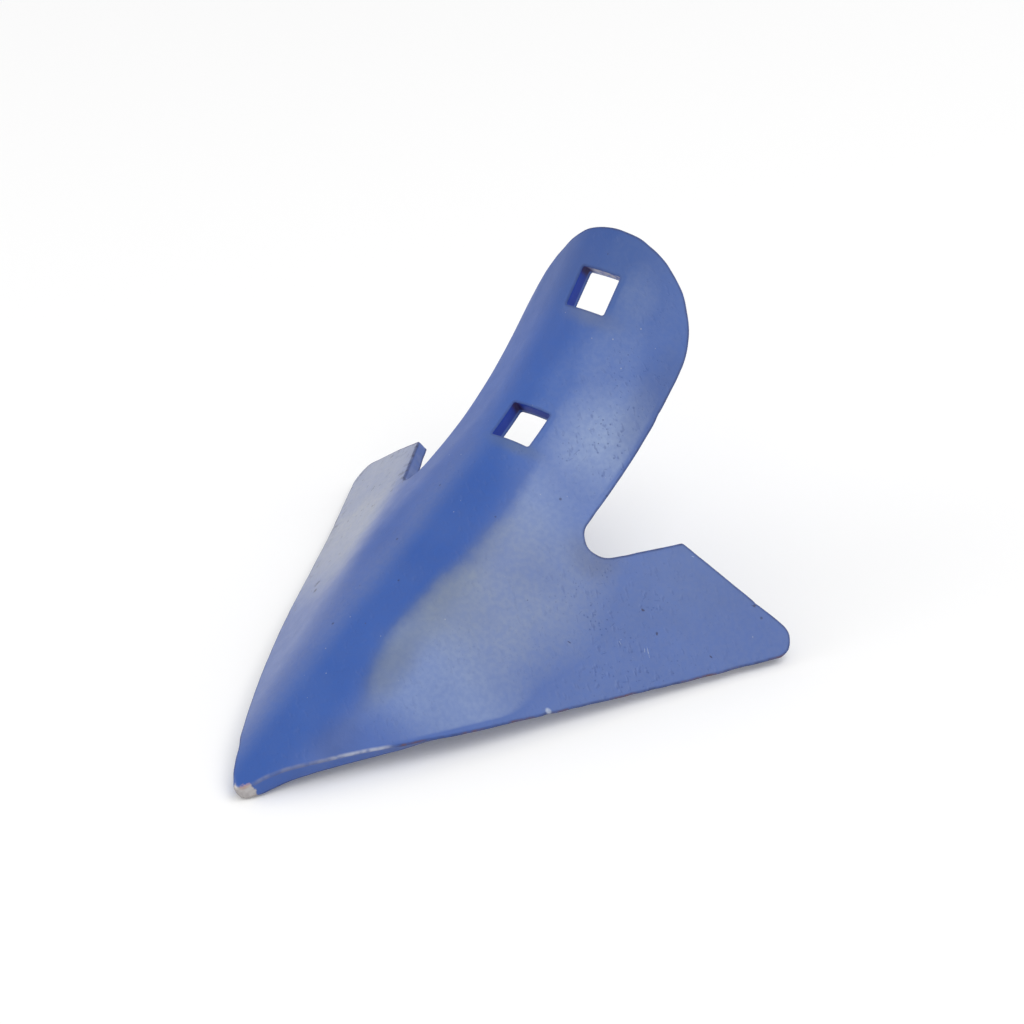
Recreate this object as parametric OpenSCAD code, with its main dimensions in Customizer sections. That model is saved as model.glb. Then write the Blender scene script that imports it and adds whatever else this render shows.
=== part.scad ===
// Cultivator sweep: a blank is sheared from steel plate, punched with two square bolt holes and pressed
// into a roof whose ridge climbs from the nose and bends up into the stem.
// The outline is drawn flat, in s along the ridge from the nose and w across it, then formed.
// Millimetres. X runs across, Y from the nose towards the stem, Z up; nose and wing tips rest on Z = 0.

/* [Plate] */
// Thickness of the plate in the nose, the ridge and the stem
plate_t = 5; // [3.5:0.5:8]
// Thickness that the wings are drawn down to at their tips
wing_t = 4; // [3:0.5:6]

/* [Ridge line] */
// Slope of the ridge from the nose to the stem, degrees
ridge_slope = 23.8; // [20:0.1:30]
// Slope of the stem above its bend, degrees
stem_slope = 46.8; // [42:0.1:56]
// Distance along the ridge from the nose to the start of the bend
bend_s = 125; // [110:1:135]
// Radius of the bend, on the front face
bend_r = 112; // [80:1:150]

/* [Roof across the ridge] */
// Fall of the roof sides at the nose, degrees
nose_fall = 33; // [20:1:42]
// Fall of the roof sides at the wings, degrees
wing_fall = 41; // [30:1:48]
// Fall of the roof sides at the stem, degrees
stem_fall = 38; // [25:1:48]
// Radius of the ridge at the nose
nose_ridge_r = 25; // [15:1:45]
// Radius of the ridge between the wings
wing_ridge_r = 39; // [25:1:60]
// Radius of the ridge at the stem
stem_ridge_r = 29; // [22:1:45]
// Distance from the ridge at which the bend of the stem starts to fade
fade_from_w = 27.5; // [15:0.5:35]
// Distance from the ridge at which the wing is flat again
fade_to_w = 60.5; // [45:0.5:80]

/* [Flat outline] */
// Angle of each cutting edge to the ridge, degrees
edge_angle = 38.75; // [35:0.25:42]
// Length of each cutting edge to its corner
edge_len = 170.5; // [155:0.5:190]
// Bow of the cutting edges
edge_bow = 1.1; // [0:0.1:3]
// Radius of the blunt nose
nose_r = 3; // [2:0.25:5]
// How far the nose is spread beyond the lines of the cutting edges
nose_flare = 1; // [0.2:0.1:1.5]
// Length of cutting edge over which that spread fades
flare_len = 13; // [8:1:25]
// Radius of the wing tips
tip_r = 6; // [3:0.5:10]
// Rear corner of the wing, along the ridge
corner_s = 133.5; // [126:0.5:142]
// Rear corner of the wing, across the ridge
corner_w = 58.5; // [52:0.5:68]
// Point of the notch between wing and stem, along the ridge
notch_s = 102; // [94:0.5:108]
// Radius at the root of the notch
notch_r = 6.2; // [4:0.2:8]
// Width of the stem
stem_w = 67.4; // [58:0.2:74]
// Start of the rounded head, along the ridge
head_s = 168; // [160:0.5:180]
// Length of the rounded head
head_len = 30.7; // [24:0.1:38]

/* [Bolt holes] */
// Length of the square bolt holes along the stem
hole_side = 12; // [9:0.25:14]
// Growth of the holes' width from the back face to the front, from the pressing
hole_splay = 1.6; // [0:0.1:3]
// Distance between the two holes along the stem
hole_pitch = 45; // [38:0.5:50]
// Lower hole, along the ridge
hole_s = 134.2; // [130:0.2:140]

/* [Wear of the right cutting edge] */
// How far the soil has worn its front arris back
edge_lean = 1.05; // [0.3:0.05:2]
// Distance from the nose at which that wear is full
lean_from = 9; // [5:1:20]
// Distance from the nose at which it starts to fade
lean_to = 45; // [30:1:60]
// Length over which it fades
lean_fade = 50; // [20:1:60]
// How far its back arris is drawn out below the nose
edge_lip = 0.5; // [0.1:0.1:1]
// Distance from the nose at which that lip starts to fade
lip_to = 25; // [15:1:40]

/* [Hidden] */
// Distances along the ridge at which the wing's and the stem's own roof are reached
wing_s = 80;
stem_s = 150;
// Steps along each stretch of the outline, and across the wing
nose_n = 3;
ridge_n = 20;
link_n = 8;
root_n = 4;
trail_n = 12;
tip_n = 6;
stem_n = 14;
head_n = 16;
wing_n = 9;
// Overshoot of a cut past the faces that it opens
over = 3;
step = 0.05;

stem_half = stem_w / 2;
head_top_s = head_s + head_len;
edge_dir = [cos(edge_angle), sin(edge_angle)];
edge_out = [-edge_dir.y, edge_dir.x];
tip_corner = edge_len * edge_dir;
rear_corner = [corner_s, corner_w];
notch_point = [notch_s, stem_half];
head_start = [head_s, stem_half];

function mix(a, b, t) = a + (b - a) * t;
function ease(a, b, x) = let (t = max(0, min(1, (x - a) / (b - a)))) t * t * (3 - 2 * t);
function unit(v) = v / norm(v);
function last(list) = list[len(list) - 1];
function tail(list) = [for (i = [1:1:len(list) - 1]) list[i]];
function reversed(list) = [for (i = [len(list) - 1:-1:0]) list[i]];
function line(a, b, n) = [for (i = [0:n]) mix(a, b, i / n)];

// Rounded corner at b, from the side of a to the side of c
function corner(a, b, c, r, n) =
    let (u = unit(a - b), v = unit(c - b), half = acos(u * v) / 2)
    let (centre = b + unit(u + v) * r / sin(half))
    let (from = b + u * r / tan(half) - centre, to = b + v * r / tan(half) - centre)
    let (turn = 180 - 2 * half, side = sign(from.x * to.y - from.y * to.x))
    [for (i = [0:n])
        let (q = side * turn * i / n)
        centre + [from.x * cos(q) - from.y * sin(q), from.x * sin(q) + from.y * cos(q)]];

// Value that changes from nose to wing to stem
function along_ridge(v, s) =
    s < wing_s ? mix(v[0], v[1], ease(0, wing_s, s)) : mix(v[1], v[2], ease(wing_s, stem_s, s));

// Roof section: an arc over the ridge, then straight sides; [across, down]
function roof(s, w) =
    let (r = along_ridge([nose_ridge_r, wing_ridge_r, stem_ridge_r], s))
    let (fall = along_ridge([nose_fall, wing_fall, stem_fall], s))
    let (arc_w = min(abs(w), r * fall * PI / 180), q = arc_w / r * 180 / PI, rest = abs(w) - arc_w)
    [sign(w) * (r * sin(q) + rest * cos(fall)), r * (1 - cos(q)) + rest * sin(fall)];

// Ridge line of the stem: straight, then bent up; [back, up, slope]
function ridge(s) =
    let (bend = max(0, min(stem_slope - ridge_slope, (s - bend_s) / bend_r * 180 / PI)))
    let (before = min(s, bend_s), after = max(0, s - bend_s - bend * PI / 180 * bend_r))
    let (slope = ridge_slope + bend)
    [
        before * cos(ridge_slope) + bend_r * (sin(slope) - sin(ridge_slope)) + after * cos(slope),
        before * sin(ridge_slope) + bend_r * (cos(ridge_slope) - cos(slope)) + after * sin(slope),
        slope
    ];

// Front face of the formed plate: the stem follows the bent ridge, the wings go on straight
function front(s, w) =
    let (cut = roof(s, w), bent = ridge(s))
    let (stem = [bent[0] + cut[1] * sin(bent[2]), bent[1] - cut[1] * cos(bent[2])])
    let (along = [cos(ridge_slope), sin(ridge_slope)], into = [sin(ridge_slope), -cos(ridge_slope)])
    let (yz = mix(stem, s * along + cut[1] * into, ease(fade_from_w, fade_to_w, abs(w))))
    [cut[0], yz[0], yz[1]];

function normal(s, w) =
    let (n = unit(cross(front(s, w + step) - front(s, w - step), front(s + step, w) - front(s - step, w))))
    w == 0 ? unit([0, n.y, n.z]) : n;

function thickness(w) = mix(plate_t, wing_t, ease(stem_half, tip_corner.y, abs(w)));

// Outline of one half of the blank, piece by piece
nose_centre = (nose_r - nose_flare) / sin(edge_angle);
cut_nose = [for (i = [0:nose_n])
    let (q = (90 - edge_angle) * i / nose_n)
    [nose_centre - nose_r * cos(q), nose_r * sin(q)]];
tip = corner([0, 0], tip_corner, rear_corner, tip_r, tip_n);
root = corner(rear_corner, notch_point, head_start, notch_r, 2 * root_n);
wing_root = [for (i = [0:root_n]) root[root_n - i]];
stem_root = [for (i = [root_n:2 * root_n]) root[i]];
head = [for (i = [0:head_n]) [head_s + head_len * sin(90 * i / head_n), stem_half * cos(90 * i / head_n)]];

// Point on the bowed cutting edge, and a point's share of that edge
edge_start = last(cut_nose) - nose_flare * edge_out;
edge_run_len = norm(tip[0] - edge_start);
function cutting_edge(q) =
    mix(edge_start, tip[0], q)
    + (4 * edge_bow * q * (1 - q) + nose_flare * (1 - ease(0, flare_len, q * edge_run_len))) * edge_out;
function edge_share(p) = ((p - edge_start) * edge_dir) / edge_run_len;
function edge_run(a, b, n) = [for (i = [0:n]) cutting_edge(mix(a, b, i / n))];

// Wing: rows run from the ridge, then from the notch and the trailing edge, out to the cutting edge
ridge_from = [nose_centre + 8, 0];
ridge_to = [wing_root[0].x - 0.7 * wing_root[0].y, 0];
inner_path = concat(
    line(ridge_from, ridge_to, nose_n + ridge_n),
    tail(line(ridge_to, wing_root[0], link_n)),
    tail(wing_root),
    tail(line(last(wing_root), rear_corner, trail_n + tip_n)));
outer_path = concat(
    cut_nose,
    tail(edge_run(0, edge_share(ridge_to), ridge_n)),
    tail(edge_run(edge_share(ridge_to), edge_share(wing_root[0]), link_n)),
    tail(edge_run(edge_share(wing_root[0]), edge_share(last(wing_root)), root_n)),
    tail(edge_run(edge_share(last(wing_root)), 1, trail_n)),
    tail(tip));

// How far the worn front arris lies back from the right cutting edge, and its back arris beyond it
function past_nose(p) = norm(p - cut_nose[0]);
function worn(p, to) = ease(0, lean_from, past_nose(p)) * (1 - ease(to, to + lean_fade, past_nose(p)));
function lean(p) = edge_lean * worn(p, lean_to);
function lip(p) = edge_lip * worn(p, lip_to);
function wing_row(a, b, set_back) = line(a, mix(b, a, set_back / norm(b - a)), wing_n);
wing_rows = [for (i = [0:len(inner_path) - 1]) wing_row(inner_path[i], outer_path[i], 0)];
worn_rows = [for (i = [0:len(inner_path) - 1]) wing_row(inner_path[i], outer_path[i], lean(outer_path[i]))];
lip_rows = [for (i = [0:len(inner_path) - 1]) wing_row(inner_path[i], outer_path[i], -lip(outer_path[i]))];
function front_rows(half) = half > 0 ? worn_rows : wing_rows;
function back_rows(half) = half > 0 ? lip_rows : wing_rows;

// Stem: rows run from the ridge to the head, the side and the notch, from the top down
stem_edge = concat(stem_root, tail(line(last(stem_root), head_start, stem_n)), tail(head));
stem_feet = concat(
    line(ridge_to, [mix(ridge_to.x, last(stem_root).x, 0.4), 0], root_n),
    tail(line([mix(ridge_to.x, last(stem_root).x, 0.4), 0], [head_s - 0.2 * stem_half, 0], stem_n)),
    tail(line([head_s - 0.2 * stem_half, 0], [head_top_s - 0.3 * head_len, 0], head_n)));
stem_rows = reversed([for (i = [0:len(stem_edge) - 1]) line(stem_feet[i], stem_edge[i], link_n)]);

// Whole outline of the half, from the nose round to the top of the head
function rim(rows) = concat(
    [for (row = rows) last(row)],
    tail(reversed(last(rows))),
    tail(reversed(line(last(wing_root), rear_corner, trail_n + tip_n))),
    tail(reversed(wing_root)),
    tail([for (row = reversed(stem_rows)) last(row)]));

// A point of the blank on the front or the back of the formed plate; half is 1 or -1
function on_front(p, half) = let (f = front(p.x, p.y)) [half * f.x, f.y, f.z];
function on_back(p, half) =
    let (f = front(p.x, p.y) - thickness(p.y) * normal(p.x, p.y)) [half * f.x, f.y, f.z];

// Triangles of a net of rows; way is 1 where the rows run back from the nose, -1 where they run down
function net_faces(rows, columns, flip) = [
    for (r = [0:rows - 2], c = [0:columns - 2])
        let (a = r * columns + c, b = a + 1, d = a + columns, e = d + 1)
        each (flip ? [[a, b, e], [a, e, d]] : [[a, e, b], [a, d, e]])];
function front_net(rows, half, way) =
    [[for (row = rows, p = row) on_front(p, half)], net_faces(len(rows), len(rows[0]), half * way < 0)];
function back_net(rows, half, way) =
    [[for (row = rows, p = row) on_back(p, half)], net_faces(len(rows), len(rows[0]), half * way > 0)];
function rim_net(half) =
    let (above = [for (p = rim(front_rows(half))) on_front(p, half)])
    let (below = [for (p = rim(back_rows(half))) on_back(p, half)])
    [concat(above, below), net_faces(2, len(below), half > 0)];

// Nets joined into one list of points and one of faces
function joined(nets, i = 0, points = [], faces = []) =
    i == len(nets) ? [points, faces] :
    joined(nets, i + 1, concat(points, nets[i][0]),
        concat(faces, [for (f = nets[i][1]) [for (k = f) k + len(points)]]));
shell = joined([for (half = [1, -1]) each [
    front_net(front_rows(half), half, 1), front_net(stem_rows, half, -1),
    back_net(back_rows(half), half, 1), back_net(stem_rows, half, -1),
    rim_net(half)]]);
rear_y = max([for (p = shell[0]) p.y]);
nose_y = min([for (p = shell[0]) p.y]);
floor_z = min([for (p = shell[0]) p.z]);

// Punch for one square hole, standing on the ridge line
module hole_punch(s) {
    bent = ridge(s);
    back_w = hole_side - hole_splay * over / plate_t;
    front_w = hole_side + hole_splay * (plate_t + over) / plate_t;
    translate([0, bent[0], bent[1]])
        rotate([bent[2], 0, 0])
            translate([0, 0, -plate_t - over])
                linear_extrude(plate_t + 2 * over, scale = [front_w / back_w, 1])
                    square([back_w, hole_side], center = true);
}

module sweep() {
    color("#6379b0")
        translate([0, -(rear_y + nose_y) / 2, -floor_z])
            difference() {
                polyhedron(shell[0], shell[1]);
                for (s = [hole_s, hole_s + hole_pitch]) hole_punch(s);
            }
}

sweep();
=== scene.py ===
# %% [markdown]
# # A cultivator sweep in worn blue paint
# A sweep is the arrow-shaped share that a spring tine pulls through the soil. The real one is a blank
# sheared from steel plate, punched with two square bolt holes, pressed hot into a rounded roof and painted.
# This lesson makes it the same way: a flat blank in mesh code, then a press built from Geometry Nodes,
# then paint, dust and wear as shader nodes.
#
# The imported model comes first. It fixes the frame and the size, and nothing below moves it.

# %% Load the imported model
import math

import bmesh
import bpy
import numpy as np
from mathutils import Matrix, Vector
from mathutils.geometry import delaunay_2d_cdt


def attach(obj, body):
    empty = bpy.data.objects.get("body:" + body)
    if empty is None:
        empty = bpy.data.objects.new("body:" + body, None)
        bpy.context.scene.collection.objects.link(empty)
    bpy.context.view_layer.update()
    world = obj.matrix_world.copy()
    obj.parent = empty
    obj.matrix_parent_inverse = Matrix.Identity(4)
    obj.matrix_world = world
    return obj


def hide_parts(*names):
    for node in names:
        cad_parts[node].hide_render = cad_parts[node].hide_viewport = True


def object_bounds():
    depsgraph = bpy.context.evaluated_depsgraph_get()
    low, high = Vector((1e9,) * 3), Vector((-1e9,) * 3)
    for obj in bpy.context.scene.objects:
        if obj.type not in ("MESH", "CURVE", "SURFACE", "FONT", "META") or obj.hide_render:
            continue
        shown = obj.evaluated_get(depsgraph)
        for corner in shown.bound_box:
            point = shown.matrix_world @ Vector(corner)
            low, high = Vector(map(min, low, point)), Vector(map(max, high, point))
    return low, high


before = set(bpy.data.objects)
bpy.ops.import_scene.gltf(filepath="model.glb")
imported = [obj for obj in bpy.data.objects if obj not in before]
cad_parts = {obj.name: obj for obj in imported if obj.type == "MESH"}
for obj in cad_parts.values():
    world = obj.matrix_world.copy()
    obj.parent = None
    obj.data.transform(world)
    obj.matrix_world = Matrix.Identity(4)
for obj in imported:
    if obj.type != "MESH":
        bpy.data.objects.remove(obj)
cad_low, cad_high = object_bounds()
print("packed model, mm:", [round(x * 1000, 1) for x in cad_high - cad_low])

# %% [markdown]
# ## The flat blank
# The outline is drawn flat, in millimetres: w runs across the ridge and s runs along it from the nose.
# One half is a chain of lines and arcs, and the other half is its mirror image. A curve object could hold
# the same outline, but plain points let every later step ask how far a place is from the cut edge.

# %% Sizes of the blank
plate_t, wing_t, rear_thin = 5.0, 4.0, 1.0
rear_thin_w, rear_thin_s = (36, 56), (100, 126)
edge_angle = math.radians(38.75)
edge_len, edge_bow = 170.5, 1.1
nose_r, tip_r, rear_r, notch_r = 3.0, 5.5, 1.15, 6.2
nose_flare, flare_len = 1.0, 13.0
rear_corner = np.array([58.5, 133.5])
notch_s, stem_half = 102.0, 33.7
head_s, head_len = 168.0, 30.7
edge_dir = np.array([math.sin(edge_angle), math.cos(edge_angle)])
edge_out = np.array([math.cos(edge_angle), -math.sin(edge_angle)])
tip_corner = edge_len * edge_dir
outline_step = 1.1


def ease(low, high, x):
    """Smooth step from 0 to 1."""
    t = np.clip((x - low) / (high - low), 0, 1)
    return t * t * (3 - 2 * t)


def thickness(at):
    """The wings are drawn down towards their tips, and the left one at its rear corner too."""
    w, s = at[:, 0], at[:, 1]
    drawn = ease(stem_half, tip_corner[0], np.abs(w)) * (plate_t - wing_t)
    return plate_t - drawn - rear_thin * ease(*rear_thin_w, -w) * ease(*rear_thin_s, s)


print("wing tip corner at w, s:", tip_corner.round(1))

# %% Lines and arcs of the outline
def straight(a, b):
    n = max(1, round(np.linalg.norm(b - a) / outline_step))
    return a + (b - a) * np.linspace(0, 1, n + 1)[:, None]


def rounded(a, b, c, radius):
    """The arc at corner b, from the side of a to the side of c."""
    u, v = (a - b) / np.linalg.norm(a - b), (c - b) / np.linalg.norm(c - b)
    half = math.acos(u @ v) / 2
    centre = b + (u + v) / np.linalg.norm(u + v) * radius / math.sin(half)
    start = b + u * radius / math.tan(half) - centre
    stop = b + v * radius / math.tan(half) - centre
    turn = math.atan2(start[0] * stop[1] - start[1] * stop[0], start @ stop)
    angles = np.linspace(0, turn, max(4, round(abs(turn) * radius / outline_step * 1.5)) + 1)
    return centre + np.stack([start[0] * np.cos(angles) - start[1] * np.sin(angles),
                              start[0] * np.sin(angles) + start[1] * np.cos(angles)], -1)


def half_outline():
    """Points w, s of the right half, from the nose round to the top of the head."""
    notch_point, head_start = np.array([stem_half, notch_s]), np.array([stem_half, head_s])
    around = np.linspace(0, math.pi / 2 - edge_angle, 6)
    nose_centre = (nose_r - nose_flare) / math.sin(edge_angle)
    nose = np.stack([nose_r * np.sin(around), nose_centre - nose_r * np.cos(around)], -1)
    tip = rounded(np.zeros(2), tip_corner, rear_corner, tip_r)
    rear = rounded(tip_corner, rear_corner, notch_point, rear_r)
    notch = rounded(rear_corner, notch_point, head_start, notch_r)
    cut = straight(nose[-1] - nose_flare * edge_out, tip[0])
    share = np.linspace(0, 1, len(cut))
    spread = nose_flare * (1 - ease(0, flare_len, share * np.linalg.norm(cut[-1] - cut[0])))
    cut = cut + (4 * edge_bow * share * (1 - share) + spread)[:, None] * edge_out
    over = np.linspace(0, math.pi / 2, round(1.6 * stem_half / outline_step))
    head = np.stack([stem_half * np.cos(over), head_s + head_len * np.sin(over)], -1)
    chain = [nose, cut, tip, straight(tip[-1], rear[0]), rear, straight(rear[-1], notch[0]), notch,
             straight(notch[-1], head_start), head]
    return np.concatenate([chain[0]] + [part[1:] for part in chain[1:]])


right = half_outline()
right[[0, -1], 0] = 0
outline = np.concatenate([right, right[-2:0:-1] * [-1, 1]])
print("outline points:", len(outline))

# %% [markdown]
# ## Sheared edges
# Shears don't leave a perfect line: the edge wanders by a tenth of a millimetre, and stones have knocked
# small nicks into it. A seeded random line, smoothed along the outline, gives the first, and a short list
# of dents gives the second. On the right the soil has worn the front arris back behind the nose and drawn
# the back arris out, so the cut face leans there. Farther along that wing it is the other way round: the
# front arris is drawn out and the face below it is undercut.

# %% A slightly uneven cut
rng = np.random.default_rng(11)
rough = rng.normal(size=len(outline))
kernel = np.exp(-np.linspace(-2, 2, 9) ** 2)
closed = np.concatenate([rough[-4:], rough, rough[:4]])
rough = np.convolve(closed, kernel / np.linalg.norm(kernel), "valid")
wander = 0.06
nicks = [(55.5, 68.2, 0.3, 0.9), (85.8, 132.8, 0.28, 0.6), (-42.0, 52.5, 0.3, 1.0), (-31.0, 38.8, 0.25, 0.9),
         (34.0, 155.5, 0.15, 1.2), (71.2, 88.5, 0.2, 1.4), (-78.0, 97.0, 0.25, 1.0)]  # w, s, depth, width


def inward(loop):
    """Direction into the plate at each outline point, long enough to keep corners true."""
    ahead, behind = np.roll(loop, -1, 0) - loop, loop - np.roll(loop, 1, 0)
    ahead /= np.linalg.norm(ahead, axis=1)[:, None]
    behind /= np.linalg.norm(behind, axis=1)[:, None]
    middle = ahead + behind
    middle /= np.linalg.norm(middle, axis=1)[:, None]
    side = np.stack([-middle[:, 1], middle[:, 0]], -1)
    return side / np.maximum(0.5, (middle * ahead).sum(1))[:, None]


into_plate = inward(outline)
bite = wander * rough
for w, s, deep, wide in nicks:
    far = np.hypot(outline[:, 0] - w, outline[:, 1] - s)
    bite = bite + deep * np.exp(-(far / wide) ** 2)
outline = outline + into_plate * bite[:, None]
print("largest bite out of the edge, mm:", bite.max().round(2))

# %% Lean of the right cutting edge
edge_lean, edge_lip, lean_from, lean_fade = 1.05, 0.5, 9.0, 46.0
lean_to, lip_to = 22, 16
drawn_out, undercut, drawn_depth = 0.4, 0.75, 3
drawn_from, drawn_until, drawn_loss = (34, 70), (125, 160), 0.75
past_nose = np.linalg.norm(outline - outline[0], axis=1)


def edge_gap_of(at):
    """Distance along s behind the straight line of the cutting edge."""
    return at[:, 1] - np.abs(at[:, 0]) / math.tan(edge_angle)


def worn(to):
    """Share of the wear along the right edge: full behind the nose, gone past a distance."""
    return (outline[:, 0] > 0) * ease(0, lean_from, past_nose) * (1 - ease(to, to + lean_fade, past_nose))


along_wing = ease(*drawn_from, past_nose) * (1 - drawn_loss * ease(*drawn_until, past_nose))
along_wing = along_wing * (outline[:, 0] > 0) * (edge_gap_of(outline) < drawn_depth)
lean = edge_lean * worn(lean_to) - drawn_out * along_wing
lip = edge_lip * worn(lip_to) - undercut * along_wing
print("front arris, mm: worn back by up to", lean.max().round(2), "and drawn out by", -lean.min().round(2))

# %% [markdown]
# ## Rings round the edge and the bolt holes
# Between the front face and the back face runs a band of rings: the rounded front arris, the cut face, and
# the tighter back arris. A Bevel modifier could round the arrises, but it would fight with the thin
# triangles of the faces, and here the rounding grows towards the nose, which the soil has ground blunt. The
# bolt holes get the same rings, a little longer in front, where bending the ridge has pulled them open.

# %% Rings of the cut edge
ground = 1 - ease(2.0, 7.0, past_nose)
front_r, back_r, margin = 0.45 + 1.0 * ground, 0.3 + 1.1 * ground, 0.5
quarter = np.linspace(0, math.pi / 2, 5)


def edge_ring(inset, share, drop):
    """One ring: inset into the plate, at a share of the thickness plus a drop."""
    flat = outline + into_plate * (inset + lean * (1 - share) - lip * share)[:, None]
    return np.column_stack([flat, -(share * thickness(flat) + drop)])


def cut_ring(inset, share):
    """One ring of the cut face, at a share of the way between the two roundings."""
    return edge_ring(inset, share, front_r * (1 - share) - back_r * share)


edge_rings = [edge_ring(front_r + margin, 0, 0)]
edge_rings += [edge_ring(front_r * (1 - math.sin(a)), 0, front_r * (1 - math.cos(a))) for a in quarter]
chatter = 0.05 * rng.normal(size=(3, len(outline)))
edge_rings += [cut_ring(chatter[i], share) for i, share in enumerate((0.25, 0.5, 0.75))]
edge_rings += [edge_ring(back_r * (1 - math.cos(a)), 1, -back_r * (1 - math.sin(a))) for a in quarter]
edge_rings += [edge_ring(back_r + margin, 1, 0)]
print("rings round the edge:", len(edge_rings), "of", len(outline), "points")

# %% Rings of the bolt holes
hole_places = (134.2, 179.2)
hole_half = {"front": ((6.72, 6.0), (6.8, 6.2)), "back": ((6.9, 5.76), (7.4, 6.0))}
hole_arris, hole_corner, hole_points = 0.3, 0.7, 18


def square_loop(half_w, half_s, centre_s, radius):
    """A square with rounded corners, drawn anticlockwise."""
    loop = []
    for quadrant in range(4):
        sw, ss = ((1, 1), (-1, 1), (-1, -1), (1, -1))[quadrant]
        turn = np.linspace(0, math.pi / 2, 5) + quadrant * math.pi / 2
        corner = np.array([sw * (half_w - radius), centre_s + ss * (half_s - radius)])
        loop.append(corner + radius * np.stack([np.cos(turn), np.sin(turn)], -1))
        side_w, side_s = ((-1, 1), (-1, -1), (1, -1), (1, 1))[quadrant]
        stop = np.array([side_w * (half_w - radius), centre_s + side_s * (half_s - radius)])
        stop = stop + radius * np.array([math.cos(turn[-1]), math.sin(turn[-1])])
        loop.append(loop[-1][-1] + (stop - loop[-1][-1]) * np.linspace(0, 1, hole_points)[1:-1, None])
    return np.concatenate(loop)


def hole_ring(which, grow, share, drop):
    faces = zip(hole_half["front"][which], hole_half["back"][which])
    half = [front + (back - front) * share + grow for front, back in faces]
    flat = square_loop(*half, hole_places[which], hole_corner + grow)
    return np.column_stack([flat, -(share * thickness(flat) + drop)])


def hole_rings(which):
    steps = [(hole_arris * (1 - math.sin(a)), hole_arris * (1 - math.cos(a))) for a in quarter]
    rings = [hole_ring(which, hole_arris + margin, 0, 0)]
    rings += [hole_ring(which, across, 0, down) for across, down in steps]
    rings += [hole_ring(which, 0, share, 0) for share in (0.3, 0.6)]
    rings += [hole_ring(which, down, 1, -across) for across, down in steps]
    return rings + [hole_ring(which, hole_arris + margin, 1, 0)]


holes = [hole_rings(which) for which in range(len(hole_places))]
print("points round each hole:", len(holes[0][0]))

# %% [markdown]
# ## Filling the faces
# The two faces are filled with a honeycomb of points and a constrained Delaunay triangulation, which keeps
# every ring as it is. A grid fill would leave long slivers in the notch. The honeycomb is fine enough for
# the press to bend it smoothly.

# %% Honeycomb points inside a loop
honeycomb = 1.35


def nearest(points, loop):
    """Distance of each point from the closest point of a loop."""
    return np.concatenate([np.sqrt(((part[:, None] - loop) ** 2).sum(-1).min(1))
                           for part in np.array_split(points, max(1, len(points) // 1500))])


def inside(points, loop):
    """Even-odd test: count the sides of the loop that lie to the right of a point."""
    a, b = loop, np.roll(loop, -1, 0)
    crossed = np.zeros(len(points), int)
    for (aw, as_), (bw, bs) in zip(a, b):
        spans = (as_ > points[:, 1]) != (bs > points[:, 1])
        at = aw + (points[:, 1] - as_) * (bw - aw) / (bs - as_ if bs != as_ else 1)
        crossed += spans & (points[:, 0] < at)
    return crossed % 2 == 1


def honeycomb_points(outer, inner_loops):
    rows = np.arange(0, head_s + head_len, honeycomb * math.sqrt(3) / 2)
    columns = np.arange(-tip_corner[0], tip_corner[0], honeycomb)
    w, s = np.meshgrid(columns, rows)
    w = w + (np.arange(len(rows)) % 2)[:, None] * honeycomb / 2
    points = np.stack([w.ravel(), s.ravel()], -1)
    points = points[inside(points, outer)]
    points = points[nearest(points, outer) > 0.75 * honeycomb]
    for loop in inner_loops:
        points = points[~inside(points, loop) & (nearest(points, loop) > 0.75 * honeycomb)]
    return points


print("honeycomb spacing, mm:", honeycomb)

# %% Triangles of one face
def face_triangles(level):
    """Points and triangles of the front (level 0) or the back (level -1)."""
    loops = [edge_rings[level][:, :2]] + [rings[level][:, :2] for rings in holes]
    flat = np.concatenate(loops + [honeycomb_points(loops[0], loops[1:])])
    sides, start = [], 0
    for loop in loops:
        sides += [(start + i, start + (i + 1) % len(loop)) for i in range(len(loop))]
        start += len(loop)
    points, _, triangles, *_ = delaunay_2d_cdt([Vector(p) for p in flat], sides, [], 1, 1e-5)
    points = np.array(points)
    middles = points[np.array(triangles)].mean(1)
    solid = ~np.any([inside(middles, loop) for loop in loops[1:]], axis=0)
    depth = thickness(points) if level else np.zeros(len(points))
    return np.column_stack([points, -depth]), [t for t, keep in zip(triangles, solid) if keep]


def ring_faces(rings, first, outwards):
    """Quads between neighbouring rings, wound so that they face out of the plate."""
    n = len(rings[0])
    quads = []
    for k in range(len(rings) - 1):
        for i in range(n):
            j = (i + 1) % n
            quad = (first + k * n + i, first + (k + 1) * n + i, first + (k + 1) * n + j, first + k * n + j)
            quads.append(quad if outwards else quad[::-1])
    return quads


# %% The blank as one closed mesh
def make_blank():
    points, faces = [], []
    for level in (0, -1):
        corners, triangles = face_triangles(level)
        faces += [[len(points) + i for i in (t if level == 0 else t[::-1])] for t in triangles]
        points += corners.tolist()
    for rings, outwards in [(edge_rings, True)] + [(rings, False) for rings in holes]:
        faces += ring_faces(rings, len(points), outwards)
        points += np.concatenate(rings).tolist()
    mesh = bpy.data.meshes.new("blank")
    mesh.from_pydata(points, [], faces)
    shell = bmesh.new()
    shell.from_mesh(mesh)
    bmesh.ops.remove_doubles(shell, verts=shell.verts, dist=2e-3)
    open_edges = sum(not e.is_manifold for e in shell.edges)
    print("blank:", len(shell.verts), "points,", len(shell.faces), "faces,", open_edges, "open edges,",
          round(shell.calc_volume(signed=True)), "mm3 flat")
    shell.to_mesh(mesh)
    shell.free()
    return mesh


blank = make_blank()

# %% [markdown]
# The paint will wear along the arrises, so each point remembers how far it lies from the nearest one. It is
# worked out here, on the flat blank, where distances are simple.

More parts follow.
